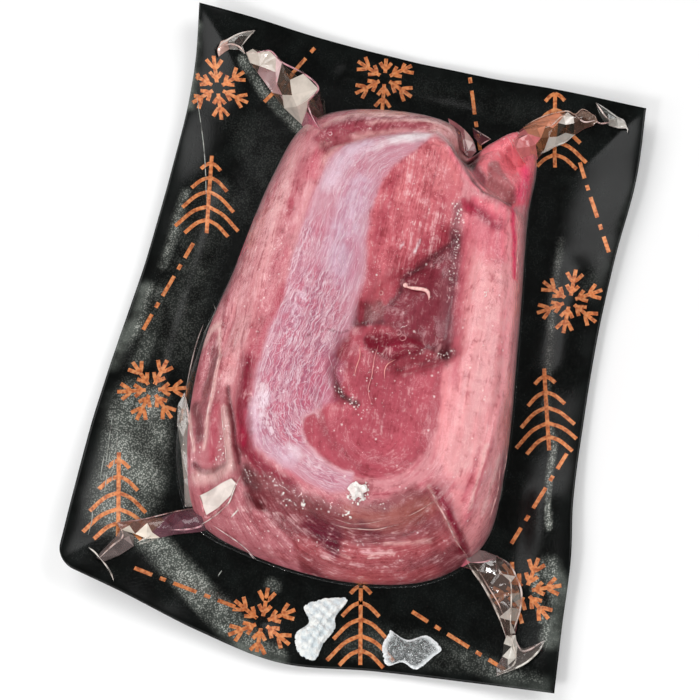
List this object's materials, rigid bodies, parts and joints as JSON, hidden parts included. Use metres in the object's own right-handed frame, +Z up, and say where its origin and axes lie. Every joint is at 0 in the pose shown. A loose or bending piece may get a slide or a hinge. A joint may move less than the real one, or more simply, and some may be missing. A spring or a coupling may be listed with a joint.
{
  "type": "vacuum-packed moose tenderloin",
  "caption": "Cut of dark red game meat sealed under clear film on a black printed backing film, with folded film gussets at the corners and flakes of frost.",
  "frame": {"origin": "on the surface the pack lies on, under the middle of its box", "axes": "+X across the pack to the right as shown, +Y along it towards the end with the twisted gusset, +Z up"},
  "size_m": [0.248, 0.323, 0.0496],
  "materials": {
    "black_film": "fine pebbled gloss, printed with copper line motifs",
    "meat_under_film": "wet red meat and pale silverskin under glossy wrinkled film",
    "white_frost": "granular, opaque",
    "clear_frost": "glassy with a frosted rim"
  },
  "bodies": {
    "root": {"backing_film": "black_film", "meat_in_clear_film": "meat_under_film", "frost_flake_white": "white_frost", "frost_flake_clear": "clear_frost", "frost_lump": "white_frost"}
  },
  "joints": []
}
